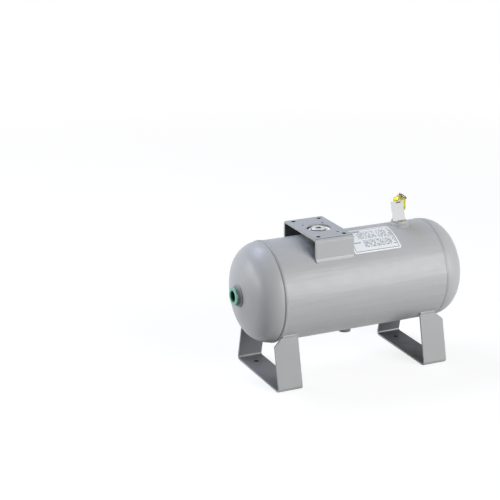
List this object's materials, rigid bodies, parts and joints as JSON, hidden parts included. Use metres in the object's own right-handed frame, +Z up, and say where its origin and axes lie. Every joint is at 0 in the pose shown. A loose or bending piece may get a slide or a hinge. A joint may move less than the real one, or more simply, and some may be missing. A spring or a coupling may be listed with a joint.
{
  "type": "compressed air tank",
  "caption": "Small horizontal compressed air tank on folded feet, with a mounting bracket, end ports, a drain and a safety valve with a pull ring.",
  "frame": {"origin": "centre of the bounding box's underside, on the floor below the middle of the shell", "axes": "+Z up, +X along the tank from the bracket's end towards the safety valve, -Y towards the side with the nameplate"},
  "size_m": [0.4584, 0.189, 0.3162],
  "materials": {
    "painted_steel": "satin silver-grey paint with a light orange peel",
    "zinc_steel": "bright zinc plate",
    "brass": "machined, slightly dulled",
    "yellow_zinc": "yellow passivated",
    "dark_steel": "oiled black oxide",
    "green_plastic": "moulded low-density polyethylene",
    "black_rubber": "matt nitrile",
    "label_foil": "satin foil with printed rules",
    "white_card": "plain coated card",
    "spring_steel": "bright drawn wire"
  },
  "bodies": {
    "tank": {"shell": "painted_steel", "head_left": "painted_steel", "head_right": "painted_steel", "girth_weld_left": "painted_steel", "girth_weld_right": "painted_steel", "port_boss_left": "painted_steel", "port_boss_right": "painted_steel", "port_cap_left": "green_plastic", "port_cap_right": "green_plastic", "top_boss": "painted_steel", "top_plug": "zinc_steel", "top_seal": "black_rubber", "drain_boss": "painted_steel", "drain_plug": "zinc_steel", "valve_boss": "painted_steel", "foot_left": "painted_steel", "foot_right": "painted_steel", "foot_welds": "painted_steel", "mounting_bracket": "painted_steel", "bracket_welds": "painted_steel", "nameplate": "label_foil", "valve_body": "brass", "valve_bonnet": "yellow_zinc", "adjusting_screw": "brass", "valve_spring": "spring_steel", "tag_tie": "zinc_steel", "tag": "white_card"},
    "stem": {"valve_stem": "zinc_steel", "valve_disc": "brass", "disc_seal": "black_rubber"},
    "ring": {"pull_ring": "dark_steel"}
  },
  "joints": [
    {"name": "stem_lift", "type": "slide", "parent": "tank", "child": "stem", "axis": [0, 0, 1], "range_m": [0, 0.0015], "stiffness_N_per_m": 2000, "springref_m": -0.002, "deforming": ["valve_spring"]},
    {"name": "ring_swing", "type": "hinge", "parent": "stem", "child": "ring", "pos_m": [0.1105, 0, 0.3143], "axis": [0.4226, 0.9063, 0], "range_deg": [-116, 0]}
  ]
}
